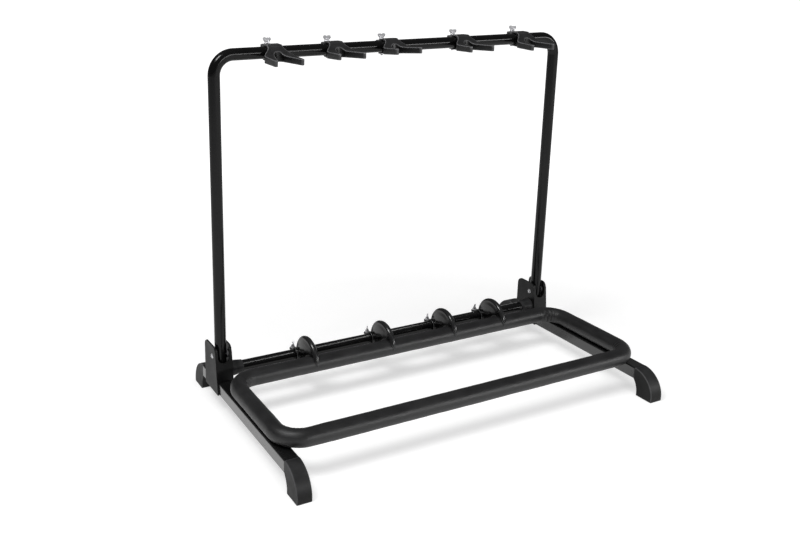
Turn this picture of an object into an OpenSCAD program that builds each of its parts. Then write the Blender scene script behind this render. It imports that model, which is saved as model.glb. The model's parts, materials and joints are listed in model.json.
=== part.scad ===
// Folding floor rack for five guitars.
// A padded base on four feet, an upright frame that folds forward over it, five neck yokes
// on the frame's top bar and four body dividers on the base's rear cross-bar.
// Frame: +X right, +Y rear, +Z up; origin on the floor, midway between the rails and their ends.

/* [Upright frame] */
// Distance between the centres of the two uprights
frame_w = 757; // [740:1:800]
// Height of the top bar's centre above the floor
frame_h = 668; // [600:1:720]
// How far the frame stands behind the middle of the base
frame_back = 125.5; // [124:0.5:130]
// Centre-line radius of the frame's two bends
frame_bend_r = 36; // [30:1:44]
// Outside diameter of the frame's and the cross-bar's round tube
tube_d = 22; // [21:0.5:23]
// Wall of every steel tube
tube_wall = 1.5; // [1.2:0.1:2]

/* [Base rails and feet] */
// Length of each side rail
rail_len = 378; // [370:1:400]
// Width of the rectangular side rail
rail_w = 28; // [27:0.5:30]
// Height of the rectangular side rail
rail_h = 23.5; // [22:0.5:25]
// Clear height under the rails
rail_z = 31.5; // [28:0.5:34]
// How far each foot reaches beyond its rail
foot_reach = 47; // [44:1:52]
// Length of each foot's sole on the floor
foot_sole = 37.5; // [34:0.5:40]

/* [Hinge brackets] */
// Thickness of the bracket's sheet steel
sheet = 3; // [2:0.5:3]
// Depth of a bracket from its web to the open rear side
bracket_depth = 54; // [48:1:60]
// How much further forward a bracket's front edge stands at its foot
bracket_lean = 11; // [0:1:13]
// Height of a bracket's top edge above the floor
bracket_top = 124; // [120:1:130]
// Height of the frame's pivot above the floor
pivot_h = 103; // [102:0.5:106]
// Radius of the pivot rivets
rivet_r = 3.5; // [3:0.5:4]
// Length of upright tube below the pivot
tube_tail = 24; // [20:1:25]

/* [Cross-bar] */
// Height of the cross-bar's centre above the floor
bar_h = 70; // [69:0.5:71]
// Length of the flared socket at each end of the cross-bar
socket_len = 26; // [20:1:32]
// Radius of a socket where it meets the bracket
socket_r = 16; // [14:0.5:17]

/* [Padded loop] */
// Outside diameter of the foam sleeve
foam_d = 33; // [31:0.5:34]
// Outside diameter of the steel core inside the foam
core_d = 16; // [14:1:18]
// Distance from the middle of the base to the loop's front side
loop_front = 167; // [150:1:172]
// Distance from the middle of the base to the loop's rear side
loop_rear = 69; // [67:0.5:70]
// Half of the loop's centre-line width
loop_half_w = 379; // [374:0.5:380]
// Centre-line radius of the loop's four corners
loop_bend_r = 44; // [36:1:60]

/* [Neck yokes] */
// Place of each yoke along the top bar
yoke_x = [-266, -143, -24.5, 140, 288]; // [-305:0.5:305]
// How far each yoke's prongs are turned below level, in degrees
yoke_tilt = [2.4, -1.6, -4.3, -1.1, 2]; // [-8:0.1:8]
// Turn of each yoke's wing screw, in degrees
yoke_screw_turn = [-24, -28, -32, -36, -40]; // [-60:1:60]
// Width of a yoke's hub along the bar
yoke_w = 30; // [28:0.5:32]
// Reach of a yoke from the bar's centre to its prong tips
yoke_reach = 75; // [70:1:80]
// Half of a yoke's width over its two prongs
yoke_spread = 28.5; // [27:0.5:31]
// Height of a prong
prong_h = 12; // [10:0.5:13]
// How far the prongs' mid-plane lies below the bar's centre
prong_drop = 8; // [6:0.5:8.5]
// Thickness of a prong at its round tip
prong_tip = 6.6; // [6:0.2:7]
// Width of the neck slot at its round root
slot_w = 18; // [17:0.5:20]
// Distance from the bar's centre to the centre of the slot's round root
slot_root = 30; // [29:0.5:32]

/* [Body dividers] */
// Place of each divider's left end along the cross-bar
divider_x = [-223, -51.5, 97.5, 222]; // [-325:0.5:300]
// Turn of each divider's wing screw, in degrees
divider_screw_turn = [50, 60, 45, 40]; // [-60:5:90]
// Outside radius of a divider's disc
disc_r = 44.5; // [42:0.5:46]
// Radius of the round rim around a divider's disc
rim_r = 6; // [5:0.5:6.5]
// How far the disc's centre lies in front of the cross-bar
disc_forward = 30; // [28:0.5:31]
// How far the disc's centre lies above the cross-bar
disc_up = 2; // [1:0.5:4]

/* [Clamps and screws] */
// Outside radius of a clamp around its tube
clamp_r = 14.5; // [14:0.1:15]
// Wall of the plastic sleeve between a clamp and its tube
liner_wall = 1.2; // [1:0.1:1.3]
// Distance from the top bar's centre back to a yoke's screw
yoke_screw_back = 25; // [23:0.5:27]
// Distance from the cross-bar's centre back to a divider's screw
divider_screw_back = 22; // [21.5:0.5:25]
// Radius of a wing screw's shank
screw_r = 2.5; // [2:0.5:3]
// Span of the two wings
wing_span = 15; // [14:0.5:15.5]
// Radius of the screws that hold the loop and the cross-bar
bolt_r = 3; // [2.5:0.5:3]

/* [Hidden] */
$fn = 64;
gap = 0.05;                                  // radial clearance of pins, shafts and screws
tube_r = tube_d / 2;
tube_in_r = tube_r - tube_wall;
foam_r = foam_d / 2;
core_r = core_d / 2;
half_w = frame_w / 2;
rail_top = rail_z + rail_h;
rail_end = rail_len / 2;
rail_corner_r = 2.5;
loop_z = rail_top + foam_r + 0.1;
web_play = 0.2;                              // between an upright at rest and the bracket's web
web_front = frame_back - tube_r - web_play - sheet;
ear_out = rail_w / 2 + sheet;                // half width of a bracket over its two ears
notch_r = tube_r + 0.6;
ear_face = half_w - ear_out;                 // the inner ears' faces that hold the cross-bar
spacer_t = rail_w / 2 - tube_r - gap;
spacer_r = 8;
rivet_head_r = 5;
rivet_head_h = 2.2;
plug_len = 12;
cap_t = 2;
bolt_head_r = 5.5;
bolt_head_h = 3.5;
insert_len = 16;
loop_bolt_y = [-115, 20];
foot_screw_r = 2;
foot_screw_in = 12;                          // from the rail's end to the foot's screw
spigot_len = 26;
spigot_play = 0.2;
liner_in_r = tube_r + gap;
liner_r = liner_in_r + liner_wall;
clamp_bore_r = liner_r + gap;
slit = 2.4;                                  // gap between a clamp's two ears
yoke_ear_top = 11.5;
divider_ear_top = 4.5;
lower_ear_bottom = -9;
boss_bottom = -15.5;
nut_r = 4.6;
nut_h = 4;
wing_t = 2.2;
ear_end_r = nut_r + 1.9;
yoke_ear_w = 24;
divider_ear_w = 14;
disc_x0 = 3;                                 // crown of a divider's left face
rim_x = disc_x0 + 5.5 + rim_r;
disc_x1 = rim_x + rim_r + 0.8;               // crown of its right face
foam_notch_r = foam_r + 0.8;
swing_r = frame_back - loop_rear - foam_r - 1;   // what may swing up behind the foam

SIDES = ["left", "right"];
ENDS = ["front", "rear"];
YOKES = [1:5];
DIVIDERS = [1:4];

// ---- Shapes that repeat ----

// Rod along X from x0 to x1
module rod_x(r, x0, x1) {
    translate([x0, 0, 0])
        rotate([0, 90, 0])
            cylinder(r = r, h = x1 - x0);
}

// Rod along Z from z0 to z1
module rod_z(r, z0, z1) {
    translate([0, 0, z0])
        cylinder(r = r, h = z1 - z0);
}

// Flat outline in Y and Z, made w thick along X and centred on x = 0
module extrude_x(w) {
    translate([-w / 2, 0, 0])
        rotate([90, 0, 90])
            linear_extrude(w)
                children();
}

// Rectangle w by h, centred in x and standing on y = 0, with round corners
module round_rect(w, h, r) {
    translate([-w / 2 + r, 0])
        square([w - 2 * r, h]);
    translate([-w / 2, r])
        square([w, h - 2 * r]);
    for (x = [-w / 2 + r, w / 2 - r], y = [r, h - r])
        translate([x, y])
            circle(r);
}

// Quarter of a bent rod in the XY plane, centred on the bend's centre
module bend(r, bend_r) {
    rotate_extrude(angle = 90)
        translate([bend_r, 0])
            circle(r);
}

// Children drawn for the right side, or mirrored when side is -1
module on_side(side) {
    mirror([side < 0 ? 1 : 0, 0, 0])
        children();
}

module both_sides() {
    for (side = [-1, 1])
        on_side(side)
            children();
}

// ---- Side rails and feet ----

module loop_bolt_holes(r, z0, z1) {
    both_sides()
        for (y = loop_bolt_y)
            translate([loop_half_w, y, 0])
                rod_z(r, z0, z1);
}

module foot_screw_places() {
    both_sides()
        for (e = [-1, 1])
            translate([half_w, e * (rail_end - foot_screw_in), 0])
                children();
}

module rail(side) {
    color([0.06, 0.06, 0.065])
        difference() {
            translate([side * half_w, rail_end, rail_z])
                rotate([90, 0, 0])
                    linear_extrude(rail_len)
                        difference() {
                            round_rect(rail_w, rail_h, rail_corner_r);
                            translate([0, tube_wall])
                                round_rect(rail_w - 2 * tube_wall, rail_h - 2 * tube_wall, 1);
                        }
            loop_bolt_holes(bolt_r + gap, rail_z - 1, rail_top + 1);
            foot_screw_places()
                rod_z(foot_screw_r + gap, rail_z - 1, rail_z + tube_wall + 1);
        }
}

// Side outline of a foot: x points away from the rail's end, y points up
module foot_outline() {
    outer_r = (pow(foot_reach, 2) + pow(rail_top, 2)) / (2 * rail_top);
    heel = foot_reach - foot_sole;
    inner_r = 41;
    chord = sqrt(pow(heel, 2) + pow(rail_z, 2));
    rise = sqrt(pow(inner_r, 2) - pow(chord / 2, 2));
    difference() {
        intersection() {
            translate([0, rail_top - outer_r])
                circle(outer_r);
            square([foot_reach + 5, rail_top]);
        }
        translate([heel / 2 - rise * rail_z / chord, rail_z / 2 - rise * heel / chord])
            circle(inner_r);
    }
}

module foot(side, end) {
    play = tube_wall + spigot_play;
    color([0.10, 0.10, 0.105])
        translate([side * half_w, end * rail_end, 0])
            mirror([0, end < 0 ? 1 : 0, 0])
                difference() {
                    union() {
                        extrude_x(rail_w)
                            foot_outline();
                        translate([0, 3, rail_z + play])
                            rotate([90, 0, 0])
                                linear_extrude(spigot_len + 3)
                                    round_rect(rail_w - 2 * play, rail_h - 2 * play, 1);
                    }
                    translate([0, -foot_screw_in, 0])
                        rod_z(foot_screw_r + gap, rail_z, rail_z + 17);
                }
}

module foot_screws() {
    color([0.12, 0.12, 0.12])
        foot_screw_places() {
            rod_z(4, rail_z - 2.2, rail_z);
            rod_z(foot_screw_r, rail_z - 1, rail_z + 16);
        }
}

// ---- Hinge brackets ----

// Place of the bracket's front edge at height z
function bracket_front(z) = web_front - bracket_lean * (bracket_top - z) / (bracket_top - rail_z);

// Side outline of a bracket with its two round top corners
module bracket_side() {
    front_r = 10;
    rear_r = 12;
    rear = web_front + bracket_depth;
    shoulder = bracket_top - front_r;
    polygon([
        [bracket_front(rail_z), rail_z], [rear, rail_z], [rear, bracket_top - rear_r],
        [rear - rear_r, bracket_top - rear_r], [rear - rear_r, bracket_top],
        [web_front + front_r, bracket_top], [web_front + front_r, shoulder],
        [bracket_front(shoulder), shoulder]
    ]);
    translate([web_front + front_r, shoulder])
        circle(front_r);
    translate([rear - rear_r, bracket_top - rear_r])
        circle(rear_r);
}

// The web's cut along its height, clear of the frame's tube
module web_side() {
    polygon([
        [bracket_front(rail_z), rail_z], [bracket_front(rail_z) + sheet, rail_z],
        [web_front + sheet, bracket_top], [web_front, bracket_top]
    ]);
}

module bracket(side) {
    color([0.07, 0.07, 0.075])
        on_side(side)
            translate([half_w, 0, 0])
                difference() {
                    union() {
                        for (s = [-1, 1])
                            translate([s * (ear_out - sheet / 2), 0, 0])
                                extrude_x(sheet)
                                    bracket_side();
                        intersection() {
                            extrude_x(2 * ear_out - 1)
                                web_side();
                            extrude_x(2 * ear_out)
                                bracket_side();
                        }
                    }
                    // the rail passes below the web
                    translate([-rail_w / 2, bracket_front(rail_z) - 1, rail_z - 1])
                        cube([rail_w, bracket_lean + sheet + 2, rail_h + 1]);
                    // U-notch that the folded tube lies in
                    translate([0, web_front - bracket_lean, pivot_h])
                        rotate([-90, 0, 0])
                            cylinder(r = notch_r, h = bracket_lean + sheet + 1);
                    translate([-notch_r, web_front - bracket_lean, pivot_h])
                        cube([2 * notch_r, bracket_lean + sheet + 1, bracket_top]);
                    translate([0, frame_back, pivot_h])
                        rod_x(rivet_r + gap, -ear_out - 1, ear_out + 1);
                    translate([0, frame_back, bar_h])
                        rod_x(bolt_r + gap, -ear_out - 1, 0);
                }
}

// Low round head that rises h from a base of radius r, along X
module round_head(r, h) {
    ball_r = (r * r + h * h) / (2 * h);
    rotate([0, 90, 0])
        rotate_extrude()
            intersection() {
                translate([0, h - ball_r])
                    circle(ball_r);
                square([r + 1, h + 1]);
            }
}

module pivot_rivets() {
    color([0.75, 0.75, 0.76])
        both_sides()
            translate([half_w, frame_back, pivot_h]) {
                rod_x(rivet_r, -ear_out - 0.5, ear_out + 0.5);
                for (end = [-1, 1])
                    on_side(end)
                        translate([ear_out, 0, 0])
                            round_head(rivet_head_r, rivet_head_h);
            }
}

module pivot_spacers() {
    color([0.2, 0.2, 0.2])
        both_sides()
            for (s = [-1, 1])
                translate([half_w + s * (tube_r + gap / 2 + spacer_t / 2), frame_back, pivot_h])
                    difference() {
                        rod_x(spacer_r, -spacer_t / 2, spacer_t / 2);
                        rod_x(rivet_r + gap, -spacer_t, spacer_t);
                    }
}

// ---- Upright frame ----

// The frame's inverted U as a solid rod of radius r, from height z0
module frame_rod(r, z0) {
    straight = half_w - frame_bend_r;
    translate([0, frame_back, frame_h])
        rod_x(r, -straight, straight);
    both_sides() {
        translate([half_w, frame_back, 0])
            rod_z(r, z0, frame_h - frame_bend_r);
        translate([straight, frame_back, frame_h - frame_bend_r])
            rotate([90, 0, 0])
                bend(r, frame_bend_r);
    }
}

module upright_frame() {
    tail_z = pivot_h - tube_tail;
    color([0.03, 0.03, 0.03])
        difference() {
            frame_rod(tube_r, tail_z);
            frame_rod(tube_in_r, tail_z - 1);
            both_sides()
                translate([half_w, frame_back, pivot_h])
                    rod_x(rivet_r + gap, -tube_r - 1, tube_r + 1);
        }
}

module upright_plugs() {
    tail_z = pivot_h - tube_tail;
    color([0.05, 0.05, 0.05])
        both_sides()
            translate([half_w, frame_back, tail_z]) {
                rod_z(tube_in_r - gap, -cap_t / 2, plug_len);
                rod_z(tube_r - 0.2, -cap_t, 0);
            }
}

// ---- Cross-bar ----

module cross_bar() {
    end_x = ear_face - gap;
    color([0.03, 0.03, 0.03])
        translate([0, frame_back, bar_h])
            difference() {
                rod_x(tube_r, -end_x, end_x);
                rod_x(tube_in_r, -end_x - 1, end_x + 1);
            }
}

// Flared collar at each end of the bar, flat below
module bar_sockets() {
    color([0.06, 0.06, 0.06])
        both_sides()
            translate([ear_face - socket_len, frame_back, bar_h])
                difference() {
                    rotate([0, 90, 0])
                        cylinder(r1 = tube_r + 1.4, r2 = socket_r, h = socket_len - gap);
                    rod_x(tube_r + gap, -1, socket_len + 1);
                    translate([-1, -30, -40 - tube_r - 1.4])
                        cube([socket_len + 2, 60, 40]);
                }
}

module bar_inserts() {
    color([0.6, 0.6, 0.6])
        both_sides()
            translate([ear_face - gap, frame_back, bar_h])
                difference() {
                    rod_x(tube_in_r - gap, -insert_len, 0);
                    rod_x(bolt_r + gap, -insert_len - 1, 1);
                }
}

module bar_bolts() {
    color([0.55, 0.55, 0.56])
        both_sides()
            translate([ear_face, frame_back, bar_h])
                difference() {
                    union() {
                        rod_x(bolt_r, -insert_len, sheet + 1);
                        rod_x(bolt_head_r, sheet, sheet + bolt_head_h);
                    }
                    translate([sheet + bolt_head_h - 2, 0, 0])
                        rotate([0, 90, 0])
                            cylinder(r = 2.3, h = 3, $fn = 6);
                }
}

// ---- Padded loop ----

// The loop's closed path as a solid rod of radius r
module loop_rod(r) {
    sx = loop_half_w - loop_bend_r;
    yf = -loop_front + loop_bend_r;
    yr = loop_rear - loop_bend_r;
    translate([0, 0, loop_z]) {
        for (y = [-loop_front, loop_rear])
            translate([0, y, 0])
                rod_x(r, -sx, sx);
        both_sides() {
            translate([loop_half_w, yr, 0])
                rotate([90, 0, 0])
                    cylinder(r = r, h = yr - yf);
            translate([sx, yr, 0])
                bend(r, loop_bend_r);
            translate([sx, yf, 0])
                rotate([0, 0, -90])
                    bend(r, loop_bend_r);
        }
    }
}

module loop_tube() {
    color([0.03, 0.03, 0.03])
        difference() {
            loop_rod(core_r);
            loop_rod(core_r - tube_wall);
            loop_bolt_holes(bolt_r + gap, rail_top, loop_z);
        }
}

module loop_foam() {
    color([0.09, 0.09, 0.095])
        difference() {
            loop_rod(foam_r);
            loop_rod(core_r + gap);
            loop_bolt_holes(bolt_r + gap, rail_top - 1, loop_z);
        }
}

module loop_bolts() {
    color([0.12, 0.12, 0.12])
        both_sides()
            for (y = loop_bolt_y)
                translate([loop_half_w, y, 0])
                    difference() {
                        union() {
                            rod_z(bolt_head_r, rail_z - bolt_head_h, rail_z);
                            rod_z(bolt_r, rail_z - 1, loop_z);
                        }
                        translate([0, 0, rail_z - bolt_head_h - 1])
                            cylinder(r = 2.3, h = 3, $fn = 6);
                    }
}

// ---- Clamps, liners, wing screws and nuts ----
// Each is drawn around the X axis; the screw stands the distance back behind it.

// Sleeve with one slit, w long from x0
module liner(x0, w) {
    color([0.15, 0.15, 0.15])
        difference() {
            rod_x(liner_r, x0, x0 + w);
            rod_x(liner_in_r, x0 - 1, x0 + w + 1);
            translate([x0 - 1, 0, -1])
                cube([w + 2, liner_r + 1, 2]);
        }
}

// The two ears of a clamp, w wide and centred on x = 0, up to the height top,
// with the nut's boss below
module clamp_ears(w, back, top) {
    translate([0, 0, lower_ear_bottom])
        linear_extrude(top - lower_ear_bottom) {
            translate([-w / 2, 0])
                square([w, back]);
            translate([-w / 2 + ear_end_r, 0])
                square([w - 2 * ear_end_r, back + ear_end_r]);
            for (x = [-w / 2 + ear_end_r, w / 2 - ear_end_r])
                translate([x, back])
                    circle(ear_end_r);
        }
    translate([0, back, 0])
        rod_z(ear_end_r, boss_bottom, lower_ear_bottom + 1);
}

// What a clamp loses: the slit between its ears, from x0 to x1
module clamp_slit(x0, x1) {
    translate([x0, clamp_bore_r - 1.5, -slit / 2])
        cube([x1 - x0, 50, slit]);
}

// ... and the screw's hole with the nut's pocket
module clamp_hole(back) {
    translate([0, back, 0]) {
        rod_z(screw_r + gap, boss_bottom - 1, clamp_r);
        translate([0, 0, boss_bottom - 1])
            cylinder(r = nut_r + gap, h = nut_h + 1, $fn = 6);
    }
}

module clamp_nut(back) {
    color([0.6, 0.6, 0.6])
        translate([0, back, boss_bottom])
            difference() {
                cylinder(r = nut_r, h = nut_h, $fn = 6);
                translate([0, 0, -1])
                    cylinder(r = screw_r + gap, h = nut_h + 2);
            }
}

// Two round lobes on a common root, standing on the screw's neck
module wing_outline() {
    lobe_r = 3.2;
    lobe_z = 8.8;
    difference() {
        for (s = [-1, 1]) {
            translate([s * (wing_span / 2 - lobe_r), lobe_z])
                circle(lobe_r);
            polygon([
                [0, 2], [s * 3.2, 2], [s * (wing_span / 2 - 0.6), lobe_z - 1.6],
                [s * 3, lobe_z + 2.9], [0, lobe_z + 2.9]
            ]);
        }
        translate([0, lobe_z + 3.8])
            circle(1.8);
    }
}

// Wing screw whose base rests on an ear's top
module wing_screw(turn, back, top) {
    color([0.8, 0.8, 0.8])
        translate([0, back, top]) {
            rod_z(screw_r, boss_bottom - 3 - top, 3);
            rod_z(4.8, 0.05, 2.6);
            translate([0, 0, 2.4])
                cylinder(r1 = 4.2, r2 = 2.9, h = 4.4);
            rotate([0, 0, turn])
                translate([0, wing_t / 2, 0])
                    rotate([90, 0, 0])
                        linear_extrude(wing_t)
                            wing_outline();
        }
}

// ---- Neck yokes ----

module on_top_bar(i) {
    translate([yoke_x[i - 1], frame_back, frame_h])
        rotate([yoke_tilt[i - 1], 0, 0])
            children();
}

// Fork seen from above: x across, y towards the rear. The hub widens in two round
// shoulders to the prongs, whose inner faces lean away from the slot's round root.
module fork_plan() {
    tip_r = prong_tip / 2;
    tip = [yoke_spread - tip_r, tip_r - yoke_reach];
    lean = atan2(tip.x - tip_r - slot_w / 2, -slot_root - tip.y);
    shoulder_y = -12;
    flare = yoke_spread - 0.5 - yoke_w / 2;
    shoulder = [
        for (t = [0:0.125:1])
            [yoke_w / 2 + flare * (1 - cos(180 * t)) / 2, shoulder_y - (slot_root + shoulder_y) * t]
    ];
    translate([-yoke_w / 2, shoulder_y - 1])
        square([yoke_w, 9 - shoulder_y + 1]);
    difference() {
        for (m = [0, 1])
            mirror([m, 0]) {
                polygon(concat([[0, shoulder_y]], shoulder, [
                    [yoke_spread, tip.y], tip, tip - tip_r * [cos(lean), sin(lean)],
                    [slot_w / 2, -slot_root], [0, -slot_root]
                ]));
                translate(tip)
                    circle(tip_r);
            }
        translate([0, -slot_root])
            circle(slot_w / 2);
    }
}

// Fork seen from the side: x is the rack's Y, y is its Z
module fork_side() {
    low = -prong_drop - prong_h / 2;
    high = low + prong_h;
    polygon([
        [9, clamp_r], [-8, clamp_r], [-13, 12], [-19, 6.5], [-26, high + 2.2], [-34, high + 0.4],
        [-46, high], [-yoke_reach - 1, high - 0.4], [-yoke_reach - 1, low + 0.4], [-34, low],
        [-12, -clamp_r], [9, -clamp_r]
    ]);
}

module yoke(i) {
    color([0.07, 0.07, 0.07])
        on_top_bar(i)
            difference() {
                union() {
                    rod_x(clamp_r, -yoke_w / 2, yoke_w / 2);
                    intersection() {
                        translate([0, 0, -20])
                            linear_extrude(40)
                                fork_plan();
                        extrude_x(2 * yoke_spread + 2)
                            fork_side();
                    }
                    clamp_ears(yoke_ear_w, yoke_screw_back, yoke_ear_top);
                }
                rod_x(clamp_bore_r, -yoke_w, yoke_w);
                clamp_slit(-yoke_w, yoke_w);
                clamp_hole(yoke_screw_back);
            }
}

module yoke_liner(i) {
    on_top_bar(i)
        liner(-yoke_w / 2 - 1, yoke_w + 2);
}

module yoke_screw(i) {
    on_top_bar(i)
        wing_screw(yoke_screw_turn[i - 1], yoke_screw_back, yoke_ear_top);
}

module yoke_nut(i) {
    on_top_bar(i)
        clamp_nut(yoke_screw_back);
}

// ---- Body dividers ----

module on_cross_bar(i) {
    translate([divider_x[i - 1], frame_back, bar_h])
        children();
}

// Half section of the disc: x is the radius, y runs along the cross-bar
module disc_section() {
    rim_at = disc_r - rim_r;
    difference() {
        union() {
            polygon([
                [0, disc_x0], [12, disc_x0 + 0.4], [22, disc_x0 + 1.6], [31, disc_x0 + 3.5],
                [rim_at - 1, rim_x - rim_r], [rim_at, rim_x - rim_r], [rim_at, rim_x + rim_r],
                [rim_at - 3, rim_x + rim_r], [24, disc_x1 - 0.1], [0, disc_x1]
            ]);
            translate([rim_at, rim_x])
                circle(rim_r);
        }
        translate([disc_r + 0.2, rim_x + 1.5])
            circle(1.1);
    }
}

// What is left of the round disc, seen along the bar: an arch over the foam,
// and behind the foam only what can swing up past it
module disc_outline() {
    foam_y = loop_rear - frame_back;
    foam_z = loop_z - bar_h;
    difference() {
        union() {
            translate([-90, foam_z])
                square([140, 80]);
            intersection() {
                circle(swing_r);
                translate([-90, -clamp_r])
                    square([140, 80]);
            }
        }
        translate([foam_y, foam_z])
            circle(foam_notch_r);
    }
}

module divider(i) {
    long = disc_x1 + 8;
    color([0.06, 0.06, 0.06])
        on_cross_bar(i)
            difference() {
                union() {
                    rod_x(clamp_r, 0, disc_x0 + 2);
                    rod_x(clamp_r, disc_x1 - 2, disc_x1 + 2);
                    intersection() {
                        translate([0, -disc_forward, disc_up])
                            rotate([0, 90, 0])
                                rotate_extrude()
                                    disc_section();
                        translate([long / 2, 0, 0])
                            extrude_x(long)
                                disc_outline();
                    }
                    translate([divider_ear_w / 2, 0, 0])
                        clamp_ears(divider_ear_w, divider_screw_back, divider_ear_top);
                }
                rod_x(clamp_bore_r, -5, long);
                clamp_slit(-1, long);
                translate([divider_ear_w / 2, 0, 0])
                    clamp_hole(divider_screw_back);
            }
}

module divider_liner(i) {
    on_cross_bar(i)
        liner(-1, disc_x1 + 4);
}

module divider_screw(i) {
    on_cross_bar(i)
        translate([divider_ear_w / 2, 0, 0])
            wing_screw(divider_screw_turn[i - 1], divider_screw_back, divider_ear_top);
}

module divider_nut(i) {
    on_cross_bar(i)
        translate([divider_ear_w / 2, 0, 0])
            clamp_nut(divider_screw_back);
}

// ---- The rack ----

for (side = [-1, 1]) {
    s = side < 0 ? "left" : "right";
    rail(side);
    bracket(side);
    foot(side, -1);
    foot(side, 1);
}
foot_screws();
cross_bar();
bar_sockets();
bar_inserts();
bar_bolts();
loop_tube();
loop_foam();
loop_bolts();
pivot_rivets();
pivot_spacers();
upright_frame();
upright_plugs();
for (i = YOKES) {
    yoke(i);
    yoke_liner(i);
    yoke_screw(i);
    yoke_nut(i);
}
for (i = DIVIDERS) {
    divider(i);
    divider_liner(i);
    divider_screw(i);
    divider_nut(i);
}
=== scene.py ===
"""Looks of a folding floor rack for five guitars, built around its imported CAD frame."""

import json
import math

import bpy
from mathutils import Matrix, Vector, noise

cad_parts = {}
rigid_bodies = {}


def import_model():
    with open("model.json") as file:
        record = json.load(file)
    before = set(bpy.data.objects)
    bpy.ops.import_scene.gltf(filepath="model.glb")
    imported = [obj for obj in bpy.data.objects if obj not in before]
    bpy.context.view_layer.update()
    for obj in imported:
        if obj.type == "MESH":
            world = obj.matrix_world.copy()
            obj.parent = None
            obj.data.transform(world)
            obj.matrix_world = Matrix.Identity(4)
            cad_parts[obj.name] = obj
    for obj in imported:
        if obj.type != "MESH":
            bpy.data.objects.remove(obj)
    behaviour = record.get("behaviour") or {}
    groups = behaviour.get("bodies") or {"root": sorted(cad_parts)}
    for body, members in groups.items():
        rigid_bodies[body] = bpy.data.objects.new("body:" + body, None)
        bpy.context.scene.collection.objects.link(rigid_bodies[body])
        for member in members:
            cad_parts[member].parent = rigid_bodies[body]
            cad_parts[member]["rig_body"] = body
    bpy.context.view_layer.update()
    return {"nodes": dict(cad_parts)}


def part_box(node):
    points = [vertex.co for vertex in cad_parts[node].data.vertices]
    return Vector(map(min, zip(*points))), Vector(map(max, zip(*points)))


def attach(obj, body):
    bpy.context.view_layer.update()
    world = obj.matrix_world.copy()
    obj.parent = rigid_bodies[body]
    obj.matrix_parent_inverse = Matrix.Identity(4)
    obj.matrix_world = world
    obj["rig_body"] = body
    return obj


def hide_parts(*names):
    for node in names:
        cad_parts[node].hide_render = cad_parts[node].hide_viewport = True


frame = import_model()

MM = 0.001
YOKES = range(1, 6)
DIVIDERS = range(1, 5)
FEET = ("front_left_foot", "front_right_foot", "rear_left_foot", "rear_right_foot")
WELD_REACH = 0.01 * MM
scene = bpy.context.scene


# ---------------------------------------------------------------- materials

class Shader:
    """A Principled material and short calls for the nodes that feed it."""

    def __init__(self, name, **inputs):
        self.material = bpy.data.materials.new(name)
        self.material.use_nodes = True
        self.tree = self.material.node_tree
        self.bsdf = self.tree.nodes["Principled BSDF"]
        self.place = self.tree.nodes.new("ShaderNodeTexCoord").outputs["Object"]
        for key, value in inputs.items():
            self.bsdf.inputs[key.replace("_", " ")].default_value = value

    def node(self, kind, inputs=None, **settings):
        """A new node with its settings made and each input set to a value or linked to another node."""
        made = self.tree.nodes.new("ShaderNode" + kind)
        for key, value in settings.items():
            setattr(made, key, value)
        for key, value in (inputs or {}).items():
            if isinstance(value, bpy.types.NodeSocket):
                self.tree.links.new(value, made.inputs[key])
            else:
                made.inputs[key].default_value = value
        return made

    def feed(self, key, socket):
        """Drives one of the Principled shader's inputs from a node."""
        self.tree.links.new(socket, self.bsdf.inputs[key])

    def stretched(self, scale):
        """Place in the frame, scaled per axis, for grain that runs one way."""
        return self.node("Mapping", {"Vector": self.place, "Scale": scale}).outputs["Vector"]

    def noise(self, size, detail=3.0, place=None):
        """Soft noise whose features are about size metres across."""
        inputs = {"Vector": place or self.place, "Scale": 1.0 / size, "Detail": detail, "Roughness": 0.55}
        return self.node("TexNoise", inputs).outputs["Fac"]

    def cells(self, size):
        """Distance from the middle of the nearest cell, for cells about size metres across."""
        return self.node("TexVoronoi", {"Vector": self.place, "Scale": 1.0 / size}).outputs["Distance"]

    def ramp(self, value, low, high, to_low=0.0, to_high=1.0):
        """The value's range low to high spread over to_low to to_high, and clamped there."""
        inputs = {"Value": value, "From Min": low, "From Max": high, "To Min": to_low, "To Max": to_high}
        return self.node("MapRange", inputs).outputs["Result"]

    def math(self, operation, a, b):
        return self.node("Math", {0: a, 1: b}, operation=operation).outputs["Value"]

    def mix(self, fac, a, b):
        """Colour a where fac is 0, colour b where it is 1."""
        return self.node("Mix", {0: fac, 6: a, 7: b}, data_type="RGBA").outputs[2]

    def bump(self, height, distance, under=None):
        """Relief of a height field whose full swing is distance metres, laid over the relief under it."""
        made = self.node("Bump", {"Height": height, "Distance": distance})
        if under is not None:
            self.tree.links.new(under, made.inputs["Normal"])
        return made.outputs["Normal"]


def neutral(value):
    """A grey without any tint."""
    return (value, value, value, 1.0)


def grey(value):
    """A grey with a touch of blue."""
    return (value, value, value * 1.03, 1.0)


def powder_coat(name, tone, roughness, peel, peel_size=2.2 * MM, gloss=0.2, coat=0.0):
    """Black powder coat: an orange-peel skin, faint dust and small changes in gloss."""
    s = Shader(name, Specular_IOR_Level=gloss, Coat_Weight=coat, Coat_Roughness=0.08)
    blotch = s.noise(60 * MM)
    s.feed("Base Color", s.mix(s.ramp(blotch, 0.35, 0.75), grey(tone), grey(tone * 1.6)))
    s.feed("Roughness", s.ramp(blotch, 0.3, 0.7, roughness * 0.85, roughness * 1.2))
    skin = s.bump(s.noise(peel_size, detail=2.0), peel)
    s.feed("Normal", skin)
    s.feed("Coat Normal", skin)
    return s.material


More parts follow.
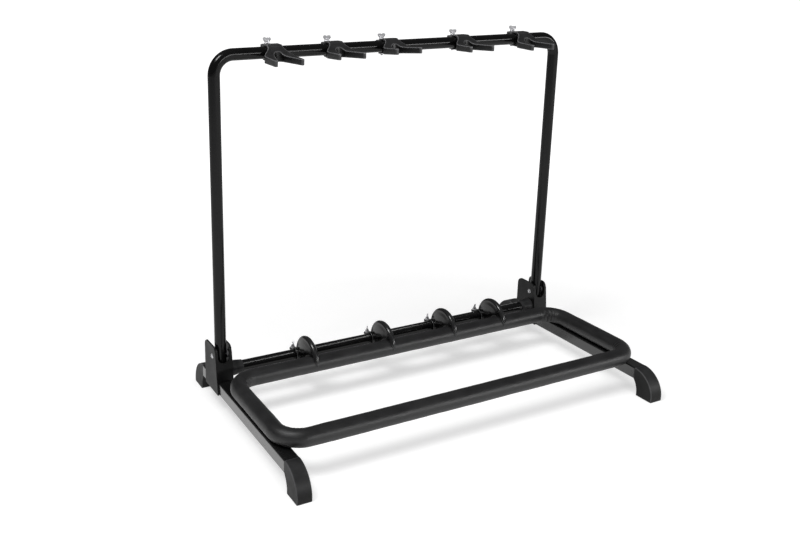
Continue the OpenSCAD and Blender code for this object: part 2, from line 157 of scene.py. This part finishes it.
def moulded(name, tone, roughness, grain_size, grain_height, wear_and_highlight=1.0, gloss=0.25):
    """Moulded plastic or rubber: fine grain, cloudy tone, painted shade where the surface is enclosed, and
    edges lighter from rubbed wear and a painted highlight.
    """
    s = Shader(name, Specular_IOR_Level=gloss)
    cloud = s.noise(18 * MM, detail=4.0)
    cloudy = s.mix(s.ramp(cloud, 0.3, 0.75), grey(tone * 0.8), grey(tone * 1.25))
    # Painted shade: the colour darkens to a tenth of the tone where ambient occlusion finds nearby surfaces.
    openness = s.node("AmbientOcclusion", {"Distance": 70 * MM}).outputs["AO"]
    with_painted_shade = s.mix(s.ramp(openness, 0.7, 0.98), grey(tone * 0.1), cloudy)
    # Convex edges are painted lighter: partly rubbed wear, partly a painted highlight.
    edge = s.node("NewGeometry").outputs["Pointiness"]
    rubbed_and_highlit = s.ramp(edge, 0.502, 0.53, 0.0, wear_and_highlight)
    s.feed("Base Color", s.mix(rubbed_and_highlit, with_painted_shade, grey(tone * 8.0)))
    s.feed("Roughness", s.ramp(cloud, 0.3, 0.7, roughness * 0.9, roughness * 1.12))
    s.feed("Normal", s.bump(s.noise(grain_size, detail=2.0), grain_height))
    return s.material


def foam_skin(name, tone):
    """Closed-cell foam: dull, finely pitted, with rubbed and dusty patches."""
    s = Shader(name, Specular_IOR_Level=0.6, Sheen_Weight=0.06, Sheen_Roughness=0.5, Sheen_Tint=grey(0.5))
    patch = s.noise(35 * MM, detail=5.0)
    s.feed("Base Color", s.mix(s.ramp(patch, 0.35, 0.7), grey(tone * 0.8), grey(tone * 1.3)))
    s.feed("Roughness", s.ramp(patch, 0.3, 0.7, 0.36, 0.48))
    pits = s.bump(s.ramp(s.cells(1.1 * MM), 0.0, 0.7), 0.10 * MM)
    lumps = s.bump(s.noise(4 * MM, detail=3.0), 0.25 * MM, under=pits)
    s.feed("Normal", lumps)
    return s.material


def plated(name, tone, roughness, streak, metal=1.0):
    """Bright plated metal with fine drawn streaks and a slightly uneven polish."""
    s = Shader(name, Metallic=metal)
    lines = s.noise(0.6 * MM, detail=2.0, place=s.stretched((1.0, 1.0, 0.15)))
    cloud = s.noise(3 * MM, detail=3.0)
    s.feed("Base Color", s.mix(s.ramp(cloud, 0.3, 0.8), grey(tone), grey(tone * 0.82)))
    s.feed("Roughness", s.ramp(lines, 0.3, 0.7, roughness * 0.7, roughness * 1.4))
    s.feed("Normal", s.bump(lines, streak))
    return s.material


TUBE = powder_coat("tube_coat", 0.003, 0.17, peel=0.01 * MM, peel_size=20 * MM, gloss=0.32)
RAIL = powder_coat("rail_coat", 0.005, 0.26, peel=0.03 * MM, gloss=0.6, coat=1.0)
BRACKET = powder_coat("bracket_coat", 0.004, 0.42, peel=0.04 * MM, gloss=0.3)
FOOT = moulded("foot_plastic", 0.024, 0.46, grain_size=0.9 * MM, grain_height=0.05 * MM, wear_and_highlight=0.4, gloss=0.3)
SOCKET = moulded("socket_plastic", 0.008, 0.38, grain_size=1.0 * MM, grain_height=0.04 * MM, wear_and_highlight=0.4)
YOKE = moulded("yoke_rubber", 0.018, 0.32, grain_size=1.2 * MM, grain_height=0.04 * MM, gloss=0.5)
DIVIDER = moulded("divider_rubber", 0.006, 0.22, grain_size=1.2 * MM, grain_height=0.02 * MM, gloss=0.7)
LINER = moulded("liner_plastic", 0.006, 0.22, grain_size=2.0 * MM, grain_height=0.02 * MM, wear_and_highlight=0.0)
FOAM = foam_skin("foam", 0.014)
BLACK_SCREW = plated("black_oxide", 0.05, 0.38, streak=0.02 * MM)
ZINC = plated("zinc", 0.62, 0.30, streak=0.02 * MM, metal=0.8)
RIVET = plated("rivet_steel", 0.80, 0.24, streak=0.02 * MM, metal=0.6)
NICKEL = plated("nickel", 0.90, 0.22, streak=0.03 * MM, metal=0.6)


def paint(obj, material):
    obj.data.materials.clear()
    obj.data.materials.append(material)


# ---------------------------------------------------------------- mesh helpers

def bake(obj):
    """Turns the object's modifiers into mesh."""
    graph = bpy.context.evaluated_depsgraph_get()
    graph.update()
    mesh = bpy.data.meshes.new_from_object(obj.evaluated_get(graph))
    old = obj.data
    obj.modifiers.clear()
    obj.data = mesh
    if old.users == 0:
        bpy.data.meshes.remove(old)


def shade_smooth(mesh):
    mesh.polygons.foreach_set("use_smooth", [True] * len(mesh.polygons))
    mesh.update()


def link(name, mesh):
    obj = bpy.data.objects.new(name, mesh)
    scene.collection.objects.link(obj)
    return obj


def softened(node, material, voxel, steps):
    """A copy of a CAD node, remeshed and smoothed so that every edge is round, on the node's body."""
    source = frame["nodes"][node]
    piece = link(node + "_soft", source.data.copy())
    weld = piece.modifiers.new("weld", "WELD")
    weld.merge_threshold = WELD_REACH
    remesh = piece.modifiers.new("remesh", "REMESH")
    remesh.mode = "VOXEL"
    remesh.voxel_size = voxel
    smooth = piece.modifiers.new("smooth", "SMOOTH")
    smooth.factor = 0.5
    smooth.iterations = steps
    bake(piece)
    shade_smooth(piece.data)
    paint(piece, material)
    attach(piece, source["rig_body"])
    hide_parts(node)


def keep(node, material, bevel=0.0):
    """Shows a CAD node as it is, with a material and, where asked, a small bevel on its sharp edges."""
    obj = frame["nodes"][node]
    paint(obj, material)
    if bevel:
        weld = obj.modifiers.new("weld", "WELD")
        weld.merge_threshold = WELD_REACH
        edge = obj.modifiers.new("bevel", "BEVEL")
        edge.width = bevel
        edge.segments = 2
        edge.limit_method = "ANGLE"
        edge.angle_limit = math.radians(35)
        edge.harden_normals = True


# ---------------------------------------------------------------- steel parts

for node in ("upright_frame", "cross_bar", "loop_tube"):
    keep(node, TUBE)
for side in ("left", "right"):
    keep(side + "_rail", RAIL)
    keep(side + "_bracket", BRACKET, bevel=0.5 * MM)
keep("pivot_rivets", RIVET)
keep("pivot_spacers", ZINC, bevel=0.2 * MM)
keep("bar_bolts", ZINC, bevel=0.3 * MM)
keep("bar_inserts", ZINC)
keep("foot_screws", BLACK_SCREW, bevel=0.3 * MM)
keep("loop_bolts", BLACK_SCREW, bevel=0.3 * MM)

# ---------------------------------------------------------------- moulded parts

keep("bar_sockets", SOCKET, bevel=0.6 * MM)
keep("upright_plugs", SOCKET, bevel=0.4 * MM)
for foot in FEET:
    softened(foot, FOOT, voxel=0.8 * MM, steps=8)
for i in YOKES:
    softened(f"yoke_{i}", YOKE, voxel=0.6 * MM, steps=14)
for i in DIVIDERS:
    softened(f"divider_{i}", DIVIDER, voxel=0.6 * MM, steps=10)

# ---------------------------------------------------------------- clamp fittings

for kind, numbers in (("yoke", YOKES), ("divider", DIVIDERS)):
    for i in numbers:
        softened(f"{kind}_screw_{i}", NICKEL, voxel=0.25 * MM, steps=3)
        keep(f"{kind}_liner_{i}", LINER)
        keep(f"{kind}_nut_{i}", ZINC, bevel=0.2 * MM)

# ---------------------------------------------------------------- foam sleeve

CORNER = 44 * MM
STEP = 1.2 * MM
RING_POINTS = 72
SKIN_WAVE = 0.35 * MM
SKIN_WAVE_SIZE = 40 * MM
FOLD_DEPTH = 2.4 * MM
FOLD_SIZE = 9 * MM
FOLD_SHARPNESS = 5.0


def rounded_rectangle(half_x, low_y, high_y, corner, step):
    """Points along a closed rounded rectangle, each with its outward normal and bend (1 in mid-corner)."""
    corners = (
        (half_x - corner, high_y - corner, 0.0),
        (-half_x + corner, high_y - corner, 90.0),
        (-half_x + corner, low_y + corner, 180.0),
        (half_x - corner, low_y + corner, 270.0),
    )
    path = []
    for k, (cx, cy, start) in enumerate(corners):
        arc_steps = max(8, int(corner * math.pi / 2 / step))
        for n in range(arc_steps):
            a = math.radians(start + 90.0 * n / arc_steps)
            out = Vector((math.cos(a), math.sin(a), 0.0))
            bend = math.sin(math.pi * n / arc_steps)
            path.append((Vector((cx, cy, 0.0)) + corner * out, out, bend))
        nx, ny, _ = corners[(k + 1) % 4]
        a = math.radians(start + 90.0)
        out = Vector((math.cos(a), math.sin(a), 0.0))
        first = Vector((cx, cy, 0.0)) + corner * out
        last = Vector((nx, ny, 0.0)) + corner * out
        line_steps = max(4, int((last - first).length / step))
        for n in range(line_steps):
            path.append((first.lerp(last, n / line_steps), out, 0.0))
    return path


def skin_push(spot, place, inner):
    """How far the foam's skin stands out at spot: uneven all over, with sharp folds inside the bends."""
    wave = noise.fractal(spot / SKIN_WAVE_SIZE, 1.0, 2.0, 3) * SKIN_WAVE
    crossing = abs(noise.noise(Vector((place.x, place.y, 0.0)) / FOLD_SIZE))
    fold = max(0.0, 1.0 - FOLD_SHARPNESS * crossing)
    return wave - FOLD_DEPTH * fold * inner - SKIN_WAVE


def foam_sleeve():
    """The loop's foam as one closed sleeve, swept along the centre line of the CAD loop."""
    low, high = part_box("loop_foam")
    radius = (high.z - low.z) / 2
    middle_z = (high.z + low.z) / 2
    path = rounded_rectangle(high.x - radius, low.y + radius, high.y - radius, CORNER, STEP)
    verts = []
    for place, out, bend in path:
        for k in range(RING_POINTS):
            a = 2 * math.pi * k / RING_POINTS
            side, up = math.cos(a), math.sin(a)
            spot = place + out * radius * side + Vector((0, 0, middle_z + radius * up))
            inner = max(0.0, -side) ** 2 * bend
            verts.append(spot + (out * side + Vector((0, 0, up))) * skin_push(spot, place, inner))
    faces = []
    for n in range(len(path)):
        ring = n * RING_POINTS
        next_ring = (n + 1) % len(path) * RING_POINTS
        for k in range(RING_POINTS):
            beside = (k + 1) % RING_POINTS
            faces.append((ring + k, ring + beside, next_ring + beside, next_ring + k))
    mesh = bpy.data.meshes.new("foam_sleeve")
    mesh.from_pydata(verts, [], faces)
    mesh.update()
    shade_smooth(mesh)
    piece = link("foam_sleeve", mesh)
    paint(piece, FOAM)
    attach(piece, "base")
    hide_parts("loop_foam")


foam_sleeve()

# ---------------------------------------------------------------- floor, light and camera

FLOOR_HALF = 14.0
MIDDLE = (0.0, 0.0, 0.3)
CAMERA_PLACE = (-0.93060, -1.35197, 0.85412)
CAMERA_DOWN = 0.2689
CAMERA_TURN = -0.4507


def floor():
    """White paper that fades into the white surroundings; it is dimmer in reflections than to the camera."""
    mesh = bpy.data.meshes.new("floor")
    corners = [(x * FLOOR_HALF, y * FLOOR_HALF, 0) for x, y in ((-1, -1), (1, -1), (1, 1), (-1, 1))]
    mesh.from_pydata(corners, [], [(0, 1, 2, 3)])
    obj = link("floor", mesh)
    s = Shader("floor_paper", Roughness=1.0, Specular_IOR_Level=0.0)
    fibre = s.ramp(s.noise(0.8), 0.3, 0.7)
    s.feed("Base Color", s.mix(fibre, neutral(0.59), neutral(0.61)))
    away = s.node("VectorMath", {0: s.place}, operation="LENGTH").outputs["Value"]
    ray = s.node("LightPath").outputs
    to_camera = s.math("MULTIPLY", ray["Is Camera Ray"], s.ramp(away, 0.6, 1.9, 0.57, 1.1))
    to_gloss = s.math("MULTIPLY", ray["Is Glossy Ray"], 0.30)
    s.feed("Emission Color", s.mix(fibre, neutral(1.0), neutral(0.99)))
    s.feed("Emission Strength", s.math("ADD", to_camera, to_gloss))
    paint(obj, s.material)


def softbox(name, place, aim, size, glow, mirrored=True, only=None):
    """A rectangular light at place that faces the point aim; unless mirrored, glossy parts do not show it.
    With only, it lights just those objects."""
    lamp = bpy.data.lights.new(name, "AREA")
    lamp.shape = "RECTANGLE"
    lamp.size, lamp.size_y = size
    lamp.energy = glow * math.pi * size[0] * size[1]
    obj = bpy.data.objects.new(name, lamp)
    obj.location = place
    obj.rotation_euler = (Vector(aim) - Vector(place)).to_track_quat("-Z", "Y").to_euler()
    obj.visible_glossy = mirrored
    scene.collection.objects.link(obj)
    if only:
        lit = bpy.data.collections.new(name + "_lit")
        for piece in only:
            lit.objects.link(piece)
        obj.light_linking.receiver_collection = lit


def studio():
    """White surroundings that light the rack only faintly, and the lamps that do the rest."""
    world = bpy.data.worlds.new("studio")
    world.use_nodes = True
    tree = world.node_tree
    sky = tree.nodes["Background"]
    dim = tree.nodes.new("ShaderNodeMapRange")
    dim.inputs["To Min"].default_value = 0.08
    dim.inputs["To Max"].default_value = 1.0
    tree.links.new(tree.nodes.new("ShaderNodeLightPath").outputs["Is Camera Ray"], dim.inputs["Value"])
    tree.links.new(dim.outputs["Result"], sky.inputs["Strength"])
    sky.inputs["Color"].default_value = neutral(1.0)
    scene.world = world
    cross_bar = frame["nodes"]["cross_bar"]
    softbox("above", (-0.5, -0.9, 3.2), MIDDLE, size=(2.6, 2.0), glow=3.4, mirrored=False)
    softbox("front_strip", (2.6, -4.2, 1.15), (0.0, 0.0, 0.8), size=(5.0, 0.5), glow=11.0)
    softbox("bar_strip", (1.2, -0.4, 3.0), (0.0, 0.1, 0.2), size=(3.2, 0.16), glow=14.0, only=[cross_bar])
    softbox("left_key", (-1.7, -0.3, 2.8), MIDDLE, size=(0.9, 0.9), glow=15.0)


def camera():
    """A camera without roll at the front left, higher than the top bar, with its picture shifted."""
    data = bpy.data.cameras.new("camera")
    data.sensor_width = 36.0
    data.lens = 40.58
    data.shift_x = 0.1278
    data.shift_y = -0.0923
    obj = bpy.data.objects.new("camera", data)
    obj.location = CAMERA_PLACE
    obj.rotation_euler = (math.pi / 2 - CAMERA_DOWN, 0.0, CAMERA_TURN)
    scene.collection.objects.link(obj)
    scene.camera = obj


floor()
studio()
camera()
scene.view_settings.view_transform = "Standard"
